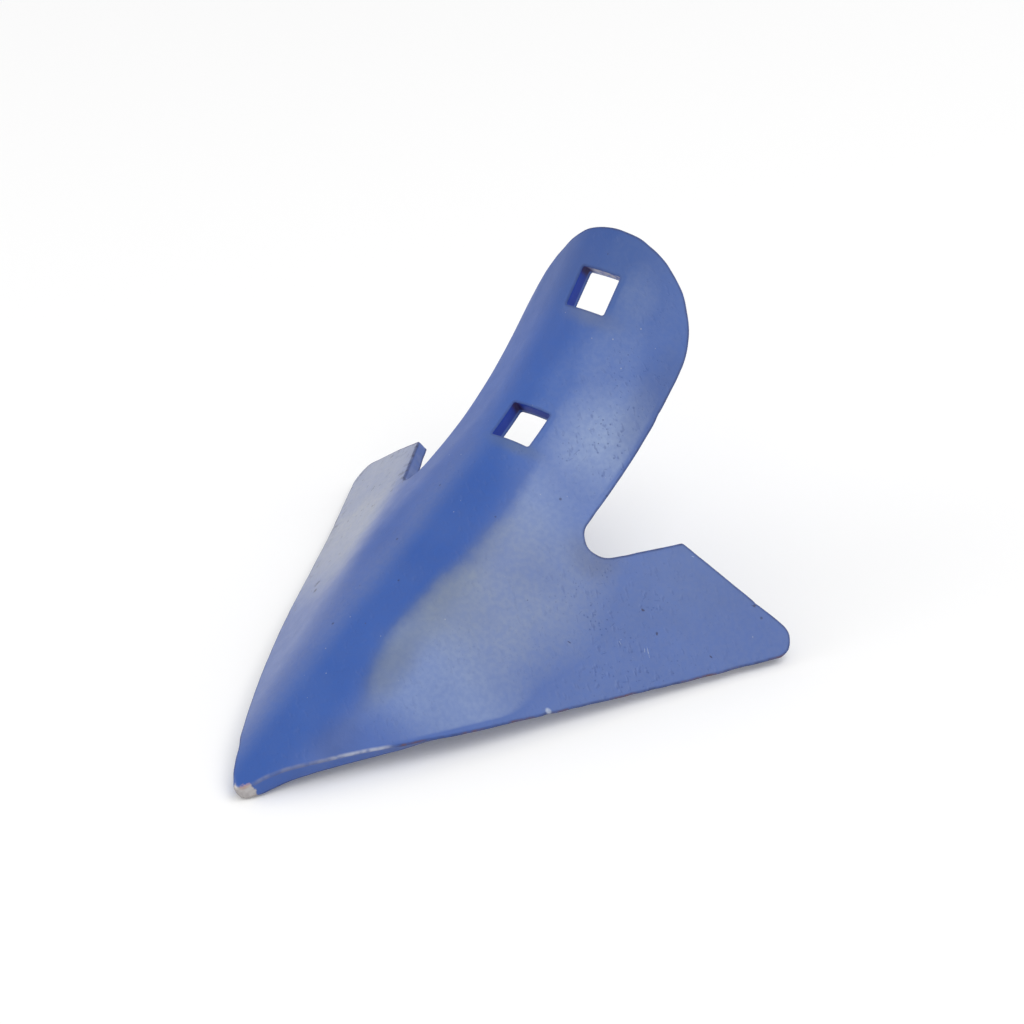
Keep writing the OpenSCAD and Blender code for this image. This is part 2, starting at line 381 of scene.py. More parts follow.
# %% Distance from the nearest arris
spots = np.empty(len(blank.vertices) * 3)
blank.vertices.foreach_get("co", spots)
spots = spots.reshape(-1, 3)
depth = -spots[:, 2]
levels = ((outline + into_plate * lean[:, None], 0, depth),
          (outline - into_plate * lip[:, None], 1, thickness(spots) - depth))
rim = np.full(len(spots), np.inf)
for arris, share, off in levels:
    loops = [arris] + [hole_ring(which, 0, share, 0)[:, :2] for which in range(len(hole_places))]
    rim = np.minimum(rim, np.hypot(np.min([nearest(spots[:, :2], loop) for loop in loops], axis=0), off))
blank.attributes.new("rim", "FLOAT", "POINT").data.foreach_set("value", rim.astype(np.float32))
print("farthest place from an arris, mm:", rim.max().round(1))

# %% [markdown]
# ## The press
# The press follows a rule: over the ridge the plate takes an arc, beyond it the sides fall straight, the
# ridge climbs from the nose and bends up into the stem, and that bend fades out across the wings. A rule
# like this suits Geometry Nodes: the sizes are named inputs, and the same small group gives the place of a
# point and, from four neighbours, the direction of the plate's thickness.

# %% Helpers for node trees
def add_node(tree, kind, inputs=(), **settings):
    """Add a node, set its properties, then fill or link its inputs by name or number."""
    made = tree.nodes.new(kind)
    for name, value in settings.items():
        setattr(made, name, value)
    for key, value in dict(inputs).items():
        if isinstance(value, bpy.types.NodeSocket):
            tree.links.new(value, made.inputs[key])
        else:
            made.inputs[key].default_value = value
    return made


def calc(tree, operation, *values):
    return add_node(tree, "ShaderNodeMath", enumerate(values), operation=operation).outputs[0]


def vector_calc(tree, operation, *values):
    return add_node(tree, "ShaderNodeVectorMath", enumerate(values), operation=operation).outputs[0]


def fade(tree, value, low, high, start=0.0, stop=1.0):
    """Smooth step between two limits."""
    ranges = {"Value": value, "From Min": low, "From Max": high, "To Min": start, "To Max": stop}
    return add_node(tree, "ShaderNodeMapRange", ranges, interpolation_type="SMOOTHSTEP").outputs[0]


def scaled(tree, vector, factor):
    return add_node(tree, "ShaderNodeVectorMath", {0: vector, "Scale": factor}, operation="SCALE").outputs[0]


def new_tree(name, kind, inputs, outputs):
    """A node group with named sockets; inputs are name: (type, default)."""
    tree = bpy.data.node_groups.new(name, kind)
    for label, (sort, value) in inputs.items():
        socket = tree.interface.new_socket(label, in_out="INPUT", socket_type="NodeSocket" + sort)
        if value is not None:
            socket.default_value = value
    for label, sort in outputs.items():
        tree.interface.new_socket(label, in_out="OUTPUT", socket_type="NodeSocket" + sort)
    return tree, tree.nodes.new("NodeGroupInput").outputs, tree.nodes.new("NodeGroupOutput").inputs


# %% One pressed point
press_sizes = {
    "Ridge slope": math.radians(23.8), "Stem slope": math.radians(46.8),
    "Bend start": 125.0, "Bend radius": 112.0,
    "Nose fall": math.radians(33), "Wing fall": math.radians(41), "Stem fall": math.radians(38),
    "Nose ridge": 25.0, "Wing ridge": 39.0, "Stem ridge": 29.0, "Wing at": 80.0, "Stem at": 150.0,
    "Fade from": 27.5, "Fade to": 60.5}


def pressed_point_tree():
    floats = {name: ("Float", 0.0) for name in ("s", "w", *press_sizes)}
    tree, given, result = new_tree("pressed_point", "GeometryNodeTree", floats, {"Point": "Vector"})
    do = lambda operation, *values: calc(tree, operation, *values)
    s, w = given["s"], do("ABSOLUTE", given["w"])

    def along(what):
        nose, wing, stem = (given[f"{part} {what}"] for part in ("Nose", "Wing", "Stem"))
        near = fade(tree, s, 0.0, given["Wing at"], nose, wing)
        later = fade(tree, s, given["Wing at"], given["Stem at"], wing, stem)
        return do("ADD", near, do("SUBTRACT", later, wing))

    radius, fall = along("ridge"), along("fall")
    over = do("MINIMUM", w, do("MULTIPLY", radius, fall))
    turn, rest = do("DIVIDE", over, radius), do("SUBTRACT", w, over)
    across = do("MULTIPLY_ADD", radius, do("SINE", turn), do("MULTIPLY", rest, do("COSINE", fall)))
    across = do("MULTIPLY", across, do("SIGN", given["w"]))
    down = do("MULTIPLY", radius, do("SUBTRACT", 1.0, do("COSINE", turn)))
    down = do("MULTIPLY_ADD", rest, do("SINE", fall), down)

    ridge, start, bend_r = given["Ridge slope"], given["Bend start"], given["Bend radius"]
    bend = do("DIVIDE", do("SUBTRACT", s, start), bend_r)
    bend = do("MAXIMUM", do("MINIMUM", bend, do("SUBTRACT", given["Stem slope"], ridge)), 0.0)
    slope = do("ADD", ridge, bend)
    before = do("MINIMUM", s, start)
    after = do("MAXIMUM", do("SUBTRACT", do("SUBTRACT", s, start), do("MULTIPLY", bend, bend_r)), 0.0)
    sine, cosine = {}, {}
    for name, angle in (("ridge", ridge), ("slope", slope)):
        sine[name], cosine[name] = do("SINE", angle), do("COSINE", angle)
    back = do("MULTIPLY", bend_r, do("SUBTRACT", sine["slope"], sine["ridge"]))
    back = do("MULTIPLY_ADD", before, cosine["ridge"], do("MULTIPLY_ADD", after, cosine["slope"], back))
    up = do("MULTIPLY", bend_r, do("SUBTRACT", cosine["ridge"], cosine["slope"]))
    up = do("MULTIPLY_ADD", before, sine["ridge"], do("MULTIPLY_ADD", after, sine["slope"], up))

    stem_y = do("MULTIPLY_ADD", down, sine["slope"], back)
    stem_z = do("SUBTRACT", up, do("MULTIPLY", down, cosine["slope"]))
    wing_y = do("MULTIPLY_ADD", s, cosine["ridge"], do("MULTIPLY", down, sine["ridge"]))
    wing_z = do("SUBTRACT", do("MULTIPLY", s, sine["ridge"]), do("MULTIPLY", down, cosine["ridge"]))
    flat = fade(tree, w, given["Fade from"], given["Fade to"])
    y = do("MULTIPLY_ADD", do("SUBTRACT", wing_y, stem_y), flat, stem_y)
    z = do("MULTIPLY_ADD", do("SUBTRACT", wing_z, stem_z), flat, stem_z)
    point = add_node(tree, "ShaderNodeCombineXYZ", {"X": across, "Y": y, "Z": z})
    tree.links.new(point.outputs[0], result["Point"])
    return tree


pressed_point = pressed_point_tree()
print("nodes in one pressed point:", len(pressed_point.nodes))

# %% [markdown]
# The press tree asks that group for each point and for four neighbours, and lays the plate's depth along
# the direction between them. It adds two faults that a real press leaves: slow waves in the sheet, and a left
# rear corner that stands up a little. Shape keys could hold them, but as inputs they can be set to nothing.

# %% The press tree
probe, wave_layer = 0.25, 4.0
lift_inner, lift_outer, lift_s = (-34.0, -58.0), (-104.0, -68.0), (96.0, 130.0)


def press_tree():
    inputs = {"Geometry": ("Geometry", None), **{name: ("Float", 0.0) for name in press_sizes},
              "Waviness": ("Float", 0.0), "Wave length": ("Float", 1.0), "Rear lift": ("Float", 0.0),
              "Seat": ("Vector", None), "Paint": ("Material", None)}
    tree, given, result = new_tree("press", "GeometryNodeTree", inputs, {"Geometry": "Geometry"})
    flat = tree.nodes.new("GeometryNodeInputPosition").outputs[0]
    parts = add_node(tree, "ShaderNodeSeparateXYZ", {0: flat}).outputs

    def point(ds, dw):
        sizes = {name: given[name] for name in press_sizes}
        sizes.update(s=calc(tree, "ADD", parts["Y"], ds), w=calc(tree, "ADD", parts["X"], dw))
        return add_node(tree, "GeometryNodeGroup", sizes, node_tree=pressed_point).outputs[0]

    across = vector_calc(tree, "SUBTRACT", point(0, probe), point(0, -probe))
    along = vector_calc(tree, "SUBTRACT", point(probe, 0), point(-probe, 0))
    out = vector_calc(tree, "NORMALIZE", vector_calc(tree, "CROSS_PRODUCT", across, along))
    sheet = {"X": parts["X"], "Y": parts["Y"], "Z": wave_layer}
    sheet = add_node(tree, "ShaderNodeCombineXYZ", sheet).outputs[0]
    size = calc(tree, "DIVIDE", 1.0, given["Wave length"])
    wave = add_node(tree, "ShaderNodeTexNoise", {"Vector": sheet, "Scale": size, "Detail": 1.0}).outputs[0]
    wave = calc(tree, "MULTIPLY", calc(tree, "SUBTRACT", wave, 0.5), given["Waviness"])
    rear = calc(tree, "MULTIPLY", fade(tree, parts["X"], *lift_inner), fade(tree, parts["X"], *lift_outer))
    rear = calc(tree, "MULTIPLY", rear, fade(tree, parts["Y"], *lift_s))
    wave = calc(tree, "MULTIPLY_ADD", rear, given["Rear lift"], wave)
    place = vector_calc(tree, "ADD", point(0, 0), scaled(tree, out, calc(tree, "ADD", parts["Z"], wave)))
    place = vector_calc(tree, "MULTIPLY_ADD", place, (0.001, 0.001, 0.001), given["Seat"])

    remembered = {"Geometry": given["Geometry"], "Name": "blank", "Value": flat}
    kept = add_node(tree, "GeometryNodeStoreNamedAttribute", remembered,
                    data_type="FLOAT_VECTOR", domain="POINT")
    moved = add_node(tree, "GeometryNodeSetPosition", {"Geometry": kept.outputs[0], "Position": place})
    real = add_node(tree, "GeometryNodeRealizeInstances", {0: moved.outputs[0]})
    coat = {"Geometry": real.outputs[0], "Material": given["Paint"]}
    tree.links.new(add_node(tree, "GeometryNodeSetMaterial", coat).outputs[0], result["Geometry"])
    return tree


press = press_tree()
print("nodes in the press:", len(press.nodes))

# %% [markdown]
# The press runs as a modifier on the blank. Its inputs are set by their identifiers, and the evaluated
# result becomes a plain mesh, so that nothing later depends on the modifier. The seat is where the packed
# model has its origin: under the middle of the part, on the floor that the nose and the wing tips touch.

# %% Press the blank
blue_paint = bpy.data.materials.new("blue_paint")
blue_paint.use_nodes = True
seat = (0.0, -0.0872084, 0.0041)
press_faults = {"Waviness": 0.16, "Wave length": 30.0, "Rear lift": 0.75}


def run_press(mesh, name):
    piece = bpy.data.objects.new(name, mesh)
    bpy.context.scene.collection.objects.link(piece)
    modifier = piece.modifiers.new("press", "NODES")
    modifier.node_group = press
    values = {**press_sizes, **press_faults, "Seat": seat, "Paint": blue_paint}
    for item in press.interface.items_tree:
        if item.in_out == "INPUT" and item.name in values:
            modifier[item.identifier] = values[item.name]
    graph = bpy.context.evaluated_depsgraph_get()
    ready = piece.evaluated_get(graph)
    formed = bpy.data.meshes.new_from_object(ready, preserve_all_data_layers=True, depsgraph=graph)
    piece.modifiers.remove(modifier)
    piece.data = formed
    formed.shade_smooth()
    return piece


sweep_plate = run_press(blank, "sweep_plate")
lows = [min(c[i] for c in sweep_plate.bound_box) - cad_low[i] for i in range(3)]
highs = [max(c[i] for c in sweep_plate.bound_box) - cad_high[i] for i in range(3)]
print("pressed plate against the packed box, mm:", [round(x * 1000, 2) for x in lows + highs])
print("triangles:", sum(len(p.vertices) - 2 for p in sweep_plate.data.polygons))

# %% [markdown]
# ## Paint
# The real paint is a thin satin blue that was sprayed over hot-pressed plate: the scale underneath shows as
# fine pits and flecks, dust has dried on it, and the soil has rubbed the arrises. All patterns read the
# blank's own coordinates in millimetres, so they follow the pressed surface. Each effect is a small group
# with named inputs, and only masks, colours and heights come out of it.

# %% Clouds
def effect(name, inputs):
    """A shader group that reads a place and some numbers and puts out one mask."""
    kinds = {"Place": ("Vector", None), **{key: ("Float", value) for key, value in inputs.items()}}
    return new_tree(name, "ShaderNodeTree", kinds, {"Mask": "Float"})


def clouds_group():
    """Soft patches: 1 where the noise is above a level."""
    tree, given, out = effect("clouds", {"Size": 10.0, "Level": 0.5, "Soft": 0.1, "Detail": 3.0})
    at = scaled(tree, given["Place"], calc(tree, "DIVIDE", 1.0, given["Size"]))
    noise = {"Vector": at, "Scale": 1.0, "Detail": given["Detail"]}
    noise = add_node(tree, "ShaderNodeTexNoise", noise).outputs[0]
    low = calc(tree, "SUBTRACT", given["Level"], given["Soft"])
    high = calc(tree, "ADD", given["Level"], given["Soft"])
    tree.links.new(fade(tree, noise, low, high), out["Mask"])
    return tree


clouds = clouds_group()
print("effect group:", clouds.name)

# %% Specks
def scatter(tree, given):
    """One place in each cell of a Voronoi pattern, three random numbers, and whether the cell is used."""
    at = scaled(tree, given["Place"], calc(tree, "DIVIDE", 1.0, given["Spacing"]))
    cells = {"Vector": at, "Scale": 1.0}
    cells = add_node(tree, "ShaderNodeTexVoronoi", cells, voronoi_dimensions="2D").outputs
    chance = add_node(tree, "ShaderNodeSeparateColor", {0: cells["Color"]}).outputs
    return at, cells, chance, calc(tree, "LESS_THAN", chance[0], given["Share"])


def specks_group():
    """Scattered round spots of different sizes."""
    tree, given, out = effect("specks", {"Spacing": 3.0, "Radius": 0.4, "Share": 0.5})
    _, cells, chance, keep = scatter(tree, given)
    size = calc(tree, "MULTIPLY", given["Radius"], calc(tree, "MULTIPLY_ADD", chance[1], 0.9, 0.35))
    far = calc(tree, "MULTIPLY", cells["Distance"], given["Spacing"])
    spot = fade(tree, calc(tree, "DIVIDE", far, size), 1.0, 0.4)
    tree.links.new(calc(tree, "MULTIPLY", spot, keep), out["Mask"])
    return tree


specks = specks_group()
print("effect group:", specks.name)

# %% Scratches
def scratches_group():
    """Short thin strokes, each with its own turn and length."""
    inputs = {"Spacing": 4.0, "Length": 2.0, "Width": 0.2, "Turn": 0.0, "Spread": 3.1, "Share": 0.3}
    tree, given, out = effect("scratches", inputs)
    at, cells, chance, keep = scatter(tree, given)
    local = vector_calc(tree, "SUBTRACT", at, cells["Position"])
    local = vector_calc(tree, "MULTIPLY", local, (1.0, 1.0, 0.0))
    angle = calc(tree, "MULTIPLY_ADD", calc(tree, "SUBTRACT", chance[1], 0.5), given["Spread"], given["Turn"])
    turned = {"Vector": scaled(tree, local, given["Spacing"]), "Angle": angle}
    local = add_node(tree, "ShaderNodeVectorRotate", turned, rotation_type="Z_AXIS").outputs[0]
    local = add_node(tree, "ShaderNodeSeparateXYZ", {0: local}).outputs
    half = calc(tree, "MULTIPLY", given["Length"], calc(tree, "MULTIPLY_ADD", chance[2], 0.35, 0.15))
    short = fade(tree, calc(tree, "DIVIDE", calc(tree, "ABSOLUTE", local["X"]), half), 1.0, 0.4)
    thin = fade(tree, calc(tree, "DIVIDE", calc(tree, "ABSOLUTE", local["Y"]), given["Width"]), 0.5, 0.15)
    tree.links.new(calc(tree, "MULTIPLY", calc(tree, "MULTIPLY", thin, short), keep), out["Mask"])
    return tree


scratches = scratches_group()
print("effect group:", scratches.name)

# %% [markdown]
# The material starts with three things to read: the place on the flat blank, the distance from the nearest
# arris, and the depth, which tells the front, the cut faces and the back apart. A few short helpers keep the
# layers below readable.

# %% Start of the paint material
paint = blue_paint.node_tree
paint.nodes.clear()
surface = paint.nodes.new("ShaderNodeBsdfPrincipled")
add_node(paint, "ShaderNodeOutputMaterial", {"Surface": surface.outputs[0]})
blank_at = add_node(paint, "ShaderNodeAttribute", attribute_name="blank").outputs["Vector"]
arris_far = add_node(paint, "ShaderNodeAttribute", attribute_name="rim").outputs["Fac"]
on_blank = add_node(paint, "ShaderNodeSeparateXYZ", {0: blank_at}).outputs
at_w, at_s, at_z = on_blank["X"], on_blank["Y"], on_blank["Z"]
print("paint reads the attributes blank and rim")

# %% Helpers for masks
def do(operation, *values):
    return calc(paint, operation, *values)


def linear(value, gain, base):
    return do("MULTIPLY_ADD", value, gain, base)


def ramp(value, *limits):
    return fade(paint, value, *limits)


def chain(operation, first, *others):
    for other in others:
        first = do(operation, first, other)
    return first


def times(*masks):
    return chain("MULTIPLY", *masks)


def most(*masks):
    return chain("MAXIMUM", *masks)


def mask(group, **values):
    """Place an effect group in the paint."""
    return add_node(paint, "ShaderNodeGroup", {"Place": blank_at, **values}, node_tree=group).outputs[0]


def zone(w, s, half_w, half_s, soft=1.0):
    """A soft oval on the blank, 1 in its middle."""
    dw, ds = do("DIVIDE", do("SUBTRACT", at_w, w), half_w), do("DIVIDE", do("SUBTRACT", at_s, s), half_s)
    far = do("SQRT", do("ADD", do("MULTIPLY", dw, dw), do("MULTIPLY", ds, ds)))
    return ramp(far, 1.0 + soft * 0.5, max(0.0, 1.0 - soft * 0.5))


def lay(share, below, colour):
    """Lay a colour over another by a mask."""
    mix = add_node(paint, "ShaderNodeMix", {0: share}, data_type="RGBA")
    for socket, value in ((mix.inputs[6], below), (mix.inputs[7], colour)):
        if isinstance(value, bpy.types.NodeSocket):
            paint.links.new(value, socket)
        else:
            socket.default_value = (*value, 1.0)
    return mix.outputs[2]


on_front = ramp(at_z, -0.7, -0.15)
on_back = times(ramp(at_z, -2.2, -2.8), ramp(arris_far, 2.4, 4.5))
on_face = most(on_front, on_back)
on_cut = times(ramp(at_z, -0.2, -0.6), ramp(at_z, -3.95, -3.5))
print("masks for the front, the back and the cut faces are ready")

# %% [markdown]
# The blue itself isn't even: thin coats over scale leave slow drifts of tone, with a finer mottle and a grain
# in them. One fine noise would look like sand. Three layers, each with its own size in millimetres, hold up
# both from afar and close by.

# %% Tone of the blue
drift = mask(clouds, Size=38.0, Level=0.5, Soft=0.25)
mottle = mask(clouds, Size=5.0, Level=0.52, Soft=0.2, Detail=4.0)
grain = mask(clouds, Size=1.6, Level=0.5, Soft=0.2, Detail=3.0)
colour = lay(drift, (0.017, 0.084, 0.37), (0.024, 0.098, 0.404))
colour = lay(times(mottle, 0.3), colour, (0.02, 0.08, 0.34))
colour = lay(times(grain, 0.2), colour, (0.01, 0.065, 0.31))
print("paint nodes after the tone:", len(paint.nodes))

# %% [markdown]
# Dust and chalk lie on the blue as a pale veil, and on the far wing the veil is mostly painted sheen: the
# pale grazing reflection of a bright surround, with a little dust under it. On the near wing the veil starts
# beside a clean band along the ridge and stops short of the cutting edge, on the far wing it starts at the
# fold, and the stem has three patches. A painted mask could do this, but soft limits in millimetres can each
# be moved alone, and one ragged noise keeps them from looking ruled.

# %% Limits of the dust
blotchy = mask(clouds, Size=20.0, Level=0.47, Soft=0.2, Detail=5.0)
ragged = do("MULTIPLY", do("SUBTRACT", mask(clouds, Size=14.0, Level=0.5, Soft=0.35, Detail=4.0), 0.5), 4.0)
edge_gap = do("SUBTRACT", at_s, do("MULTIPLY", do("ABSOLUTE", at_w), 1 / math.tan(edge_angle)))
off_edge = ramp(edge_gap, 0.0, ramp(at_s, 58.0, 78.0, 2.0, 18.0))
band_edge = do("ADD", ramp(at_s, 56.0, 34.0, 0.0, 7.0),
               times(ramp(at_s, 58.0, 92.0), ramp(at_s, 132.0, 114.0), 5.0))
from_band = do("SUBTRACT", do("ADD", at_w, ragged), band_edge)
fold = do("SUBTRACT", linear(at_s, -0.45, 10.0), do("ADD", at_w, ragged))
print("paint nodes after the limits:", len(paint.nodes))

# %% Dust on the wings and the stem, painted sheen on the far wing, dust on the back
near_share, stem_share, far_share, back_share = 0.32, 0.44, 0.53, 0.16
near_veil = times(most(zone(22, 82, 31, 54, 1.2), zone(38, 60, 16, 22, 1.2)), ramp(from_band, 5.5, 12.0),
                  ramp(at_s, 26.0, 48.0), off_edge, linear(blotchy, 0.35, 0.65))
stem_veil = most(zone(24, 141, 14, 17, 1.8), times(zone(14, 163, 11, 17, 1.2), 0.4),
                 times(zone(13, 181, 8, 12, 1.6), 0.5))
stem_veil = times(stem_veil, ramp(arris_far, 0.3, 2.5), linear(blotchy, 0.3, 0.7))
# On the far wing the veil is mostly painted sheen, the pale grazing reflection of a bright surround, with a
# little dust.
far_sheen_and_dust = times(ramp(fold, -7.0, 15.0), ramp(at_s, 44.0, 92.0), ramp(at_s, 128.0, 104.0, 0.84, 1.0),
                 linear(blotchy, 0.25, 0.75))
back_veil = times(mask(clouds, Size=26.0, Level=0.52, Soft=0.16, Detail=5.0), on_back)
# The veil is dust on the near wing and the stem, and painted sheen with a little dust on the far wing.
dust_and_sheen = most(times(near_veil, near_share), times(stem_veil, stem_share), times(far_sheen_and_dust, far_share))
print("paint nodes after the dust:", len(paint.nodes))

# %% Thin film of dust and painted sheen beside the ridge, and the colour of the veil
flank = times(ramp(at_w, -9.0, -19.0), ramp(fold, 2.0, -7.0), ramp(at_s, 60.0, 84.0))
stem_side = times(ramp(from_band, -4.0, 4.0), ramp(at_s, 112.0, 128.0), 0.85)
far_side = times(ramp(at_w, -1.0, -11.0), ramp(at_s, 142.0, 112.0), linear(flank, -1.0, 1.15))
beside_ridge = most(ramp(at_w, 30.0, 60.0), stem_side, far_side)
# The thin film is partly dust and partly painted sheen, strongest beside the ridge and out on the near wing.
thin_dust_and_sheen = linear(blotchy, 0.02, linear(beside_ridge, 0.08, 0.02))
dust_and_sheen = most(times(on_front, dust_and_sheen), linear(back_veil, back_share, thin_dust_and_sheen))
dust_and_sheen = times(dust_and_sheen, linear(grain, 0.24, 0.88))
bluish = most(ramp(at_s, 80.0, 50.0), times(ramp(at_s, 98.0, 120.0), ramp(at_w, 46.0, 36.0)))
dust_and_sheen_tone = lay(bluish, (0.53, 0.57, 0.52), (0.52, 0.62, 0.76))
# The greyer tone on the far wing is the colour of its painted sheen.
dust_and_sheen_tone = lay(ramp(at_w, 0.0, -16.0), dust_and_sheen_tone, (0.55, 0.54, 0.46))
colour = lay(dust_and_sheen, colour, dust_and_sheen_tone)
print("paint nodes after the film:", len(paint.nodes))

# %% [markdown]
# Stains are darker than the dust: a brown line where soil dried along the clean band, and runs below the bolt
# holes. Other patches only darken the blue: on the stem's right edge, by the notch and behind the nose. The
# top of the head gets painted shade, a deeper blue. The patches come from a short list of ovals, so that one
# can be added or moved in a line.

# %% Stains
# Painted shade: the top of the head is laid over with a deeper blue, as if less lit.
head_painted_shade = times(zone(-6, 192, 24, 20, 1.2), on_front)
colour = lay(times(head_painted_shade, 0.3), colour, (0.008, 0.04, 0.17))
away_from_edge = times(ramp(at_w, 38.0, 62.0), ramp(edge_gap, 12.0, 36.0))
haze = times(most(away_from_edge, times(ramp(at_s, 160.0, 180.0), 0.7)), on_front)
colour = lay(times(haze, 0.06), colour, (0.12, 0.13, 0.06))
soil_line = times(zone(12, 72, 6, 34, 1.4), ramp(from_band, 4.0, 9.0), on_front)
colour = lay(times(soil_line, 0.26), colour, (0.20, 0.22, 0.16))
# Each patch: w, s, half width, half length, share, colour. The dark ones on the stem's right edge, by the
# notch and behind the nose darken the blue there.
tinted_patches = [(2.5, 171.8, 8, 2.6, 0.26, (0.26, 0.25, 0.15)), (2.5, 127.2, 8, 2.4, 0.3, (0.14, 0.16, 0.12)),
          (31, 156, 6, 13, 0.3, (0.05, 0.05, 0.06)), (40, 113, 7, 6, 0.3, (0.06, 0.055, 0.06)),
          (19, 75, 7, 10, 0.14, (0.24, 0.26, 0.15)), (14.5, 50, 4.5, 9, 0.28, (0.06, 0.07, 0.05)),
          (14.5, 25, 5, 7, 0.3, (0.0, 0.02, 0.14))]
for w, s, half_w, half_s, share, tone in tinted_patches:
    patch_mask = times(zone(w, s, half_w, half_s, 1.5), linear(blotchy, 0.4, 0.6), on_front)
    colour = lay(times(patch_mask, share), colour, tone)
print("stains:", len(tinted_patches))

# %% [markdown]
# ## Wear
# Pits, flecks and scuffs are small and sparse, and each keeps its size in millimetres. They crowd in two
# places on the front, where the paint is thin over scale. Spots of real geometry would need millions of
# faces, so these stay in the material, as colour and as fine relief.

# %% Pits and flecks
patchy = mask(clouds, Size=16.0, Level=0.48, Soft=0.12)
pitted = linear(most(zone(62, 99, 20, 18, 1.4), zone(24, 146, 10, 22, 1.4)), 0.75, 0.25)
pitted = most(times(pitted, linear(patchy, 0.7, 0.3), on_front), times(patchy, on_back, 0.6))
pits = times(mask(specks, Spacing=1.2, Radius=0.3, Share=0.18), pitted)
flecks = times(mask(specks, Spacing=11.0, Radius=0.45, Share=0.12), on_face)
pale_specks = times(mask(specks, Spacing=6.0, Radius=0.25, Share=0.1), on_face)
colour = lay(times(pits, 0.5), colour, (0.012, 0.045, 0.19))
colour = lay(times(flecks, 0.6), colour, (0.02, 0.03, 0.09))
colour = lay(times(pale_specks, 0.45), colour, (0.45, 0.47, 0.5))
print("paint nodes after the pits:", len(paint.nodes))

# %% Scuffs, with a painted highlight beside them
rubs = mask(scratches, Spacing=3.1, Length=2.6, Width=0.3, Turn=2.0, Spread=1.2, Share=0.16)
fine_rubs = mask(scratches, Spacing=1.9, Length=1.3, Width=0.25, Turn=0.4, Share=0.12)
rub_turn, rub_stretch, highlight_shift = 0.7, (0.5, 1.0, 1.0), (0.25, 0.45, 0.0)
turned = {"Vector": blank_at, "Angle": rub_turn}
rub_place = add_node(paint, "ShaderNodeVectorRotate", turned, rotation_type="Z_AXIS").outputs[0]
rub_place = vector_calc(paint, "MULTIPLY", rub_place, rub_stretch)
# Painted highlight: a paler copy of the scuff pattern, shifted a fraction of a millimetre, lights one rim of
# each scuff.
highlight_place = vector_calc(paint, "ADD", rub_place, highlight_shift)
scuff = {"Size": 1.5, "Level": 0.63, "Soft": 0.05, "Detail": 2.5}
rubbed = times(most(mask(clouds, Place=rub_place, **scuff), rubs, fine_rubs), pitted)
scuff_highlight = times(mask(clouds, Place=highlight_place, **scuff), pitted)
colour = lay(times(rubbed, 0.42), colour, (0.02, 0.055, 0.22))
colour = lay(times(scuff_highlight, 0.2), colour, (0.2, 0.27, 0.52))
print("paint nodes after the scuffs:", len(paint.nodes))

# %% Dark specks of the far wing
far_edge = times(ramp(at_w, -36.0, -46.0), ramp(arris_far, 7.0, 1.5), patchy)
edge_specks = times(mask(clouds, Size=2.2, Level=0.57, Soft=0.05, Detail=3.0), far_edge)
few_specks = times(mask(clouds, Size=2.6, Level=0.665, Soft=0.025, Detail=4.0), ramp(at_w, -40.0, -46.0))
colour = lay(times(most(edge_specks, few_specks), on_front, 0.7), colour, (0.05, 0.06, 0.14))
print("paint nodes after the specks:", len(paint.nodes))

# %% [markdown]
# A few scratches catch the eye and have their own place, turn and size. Each is a thin oval whose rim is
# broken by noise, which looks less drawn than a clean stroke.

# %% Single scratches
jagged = mask(clouds, Size=0.9, Level=0.5, Soft=0.3, Detail=4.0)


def stroke(w, s, angle, length, width):
    """One scratch: a thin ragged oval, turned by an angle from the ridge."""
    c, n = math.cos(angle), math.sin(angle)
    dw, ds = do("SUBTRACT", at_w, w), do("SUBTRACT", at_s, s)
    along = do("DIVIDE", linear(ds, c, do("MULTIPLY", dw, n)), length / 2)
    across = do("DIVIDE", linear(ds, -n, do("MULTIPLY", dw, c)), width)
    far = do("SQRT", do("ADD", do("MULTIPLY", along, along), do("MULTIPLY", across, across)))
    return times(ramp(linear(jagged, 0.9, far), 1.25, 0.75), on_front)


light_strokes = [(68.4, 100.9, 2.27, 4.2, 0.2), (67.7, 100.3, 2.45, 2.3, 0.16), (60.9, 97.4, 1.92, 1.7, 0.16),
                 (63.0, 132.1, 1.2, 1.6, 0.2)]
dark_strokes = [(60.5, 109.5, 1.03, 1.6, 0.5), (67.6, 106.6, 1.92, 1.4, 0.55), (-44.0, 72.0, 0.8, 4.4, 1.6),
                (-40.0, 68.5, 0.8, 3.2, 1.4), (83.7, 111.5, 1.57, 1.8, 0.3), (49.1, 87.9, 1.46, 2.0, 0.25),
                (85.3, 131.9, 1.0, 2.2, 0.6)]
scored, light_tone, dark_tone = 0.0, (0.42, 0.48, 0.62), (0.018, 0.02, 0.08)
for strokes, tone, share in ((light_strokes, light_tone, 0.5), (dark_strokes, dark_tone, 0.8)):
    for place in strokes:
        mark = stroke(*place)
        scored = most(scored, mark)
        colour = lay(times(mark, share), colour, tone)
print("single scratches:", len(light_strokes) + len(dark_strokes))

# %% [markdown]
# The cut edges are dark where the paint ran thin and reddish where it let rust through. The walls of the bolt
# holes kept a deep, clean blue, and each is dark maroon in one upper corner. The distance from the arris,
# stored on the blank, keeps each line at its width; a Pointiness input would depend on the size of the faces.

